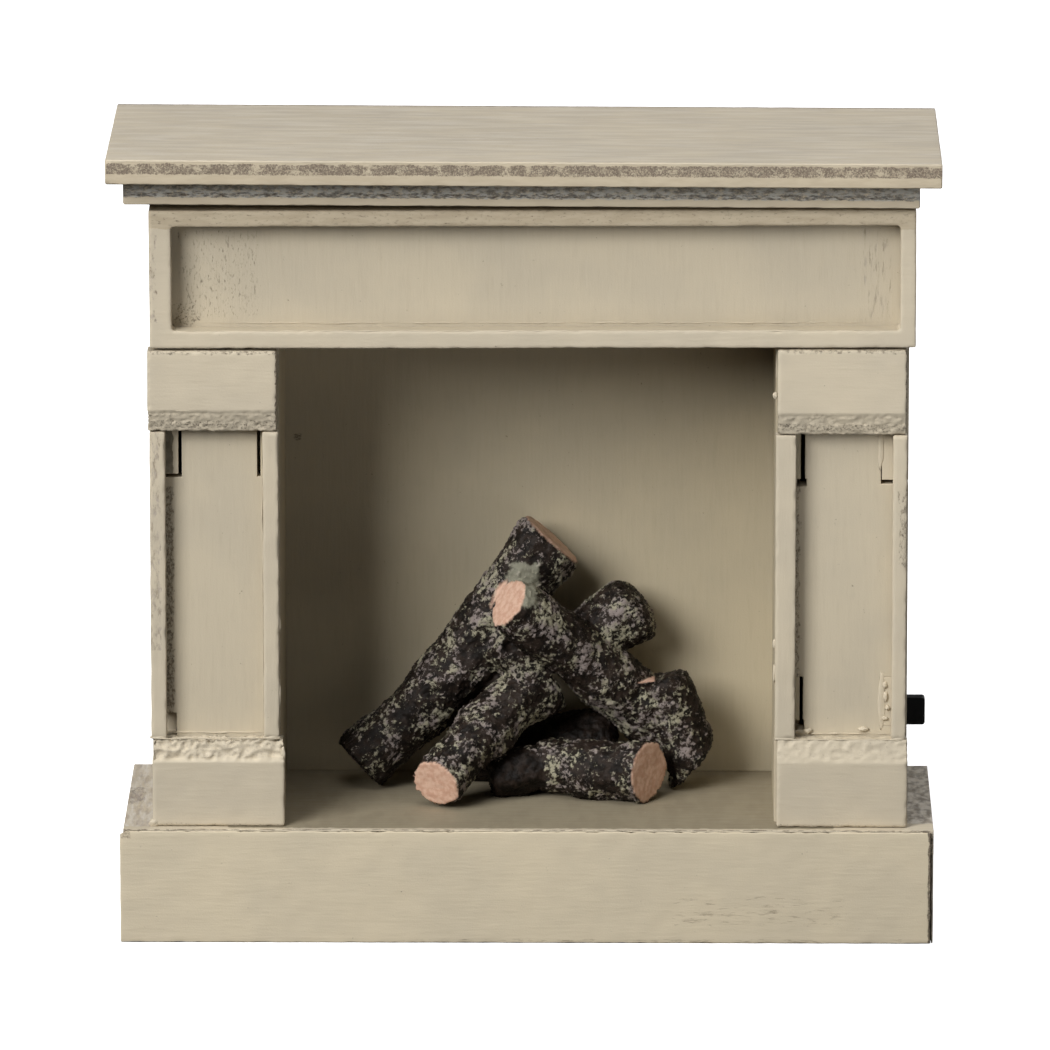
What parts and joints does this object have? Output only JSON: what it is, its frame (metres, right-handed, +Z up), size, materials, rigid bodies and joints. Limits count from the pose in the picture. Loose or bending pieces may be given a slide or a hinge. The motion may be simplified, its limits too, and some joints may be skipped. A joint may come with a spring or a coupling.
{
  "type": "miniature fireplace mantel",
  "caption": "Miniature board fireplace mantel with panelled columns, a frieze, a log pile, a lamp, a side slide switch and a battery door in the base.",
  "frame": {"origin": "middle of the mantel's footprint on the table, under the middle of the shelf", "axes": "+Z up, the firebox opens towards -Y, +X towards the column that carries the switch"},
  "size_m": [0.13, 0.0466, 0.1265],
  "materials": {
    "painted_board": "chalky greige paint on fibre board, worn at the edges",
    "bare_board": "bare fibre board",
    "bark": "cast resin bark, brown-black with pale dabs, pink cut ends",
    "black_plastic": "black moulded plastic",
    "knob_plastic": "glossy black",
    "screw_steel": "plated steel",
    "contact_steel": "nickel plated",
    "switch_can": "stamped metal",
    "cell_jacket": "plain printed jacket",
    "lamp_lens": "warm tinted clear lens",
    "resistor_body": "beige body",
    "wire_red": "red insulation",
    "wire_black": "black insulation"
  },
  "bodies": {
    "case": {"shelf_board": "painted_board", "bed_board": "painted_board", "front_board": "painted_board", "left_outer_wall": "painted_board", "left_cheek": "painted_board", "right_cheek": "painted_board", "right_outer_wall": "painted_board", "back_board": "painted_board", "hearth_plate": "painted_board", "base_front": "painted_board", "frieze_bottom_rail": "painted_board", "frieze_top_rail": "painted_board", "frieze_left_stile": "painted_board", "frieze_right_stile": "painted_board", "left_capital": "painted_board", "right_capital": "painted_board", "left_plinth": "painted_board", "right_plinth": "painted_board", "left_outer_stile": "painted_board", "left_inner_stile": "painted_board", "right_inner_stile": "painted_board", "right_outer_stile": "painted_board", "base_left_end": "painted_board", "base_right_end": "painted_board", "base_back": "painted_board", "firebox_ceiling": "bare_board", "base_bottom": "bare_board", "log_back_left": "bark", "log_right_diagonal": "bark", "log_front_centre": "bark", "log_front_lying": "bark", "log_back_stub": "bark", "log_right_stump": "bark", "battery_tray": "black_plastic", "lamp_holder": "black_plastic", "tray_screws": "screw_steel", "switch_screws": "screw_steel", "contact_springs": "contact_steel", "contact_plates": "contact_steel", "lamp_leads": "contact_steel", "switch_terminals": "contact_steel", "battery_cell_front": "cell_jacket", "battery_cell_rear": "cell_jacket", "switch_body": "switch_can", "lamp": "lamp_lens", "resistor": "resistor_body", "wire_battery_to_switch": "wire_red", "wire_switch_to_resistor": "wire_red", "wire_lamp_to_battery": "wire_black"},
    "switch_knob": {"switch_knob": "knob_plastic"},
    "battery_door": {"battery_door": "black_plastic"},
    "battery_door_screw": {"battery_door_screw": "screw_steel"}
  },
  "joints": [
    {"name": "switch_slide", "type": "slide", "parent": "case", "child": "switch_knob", "axis": [0, 0, 1], "range_m": [0, 0.003]},
    {"name": "battery_door_hinge", "type": "hinge", "parent": "case", "child": "battery_door", "pos_m": [-0.0541, 0.0022, 0.0011], "axis": [0, 1, 0], "range_deg": [0, 100]},
    {"name": "battery_door_screw_turn", "type": "hinge", "parent": "battery_door", "child": "battery_door_screw", "pos_m": [-0.0023, 0.0022, 0.0011], "axis": [0, 0, -1], "continuous": true}
  ]
}
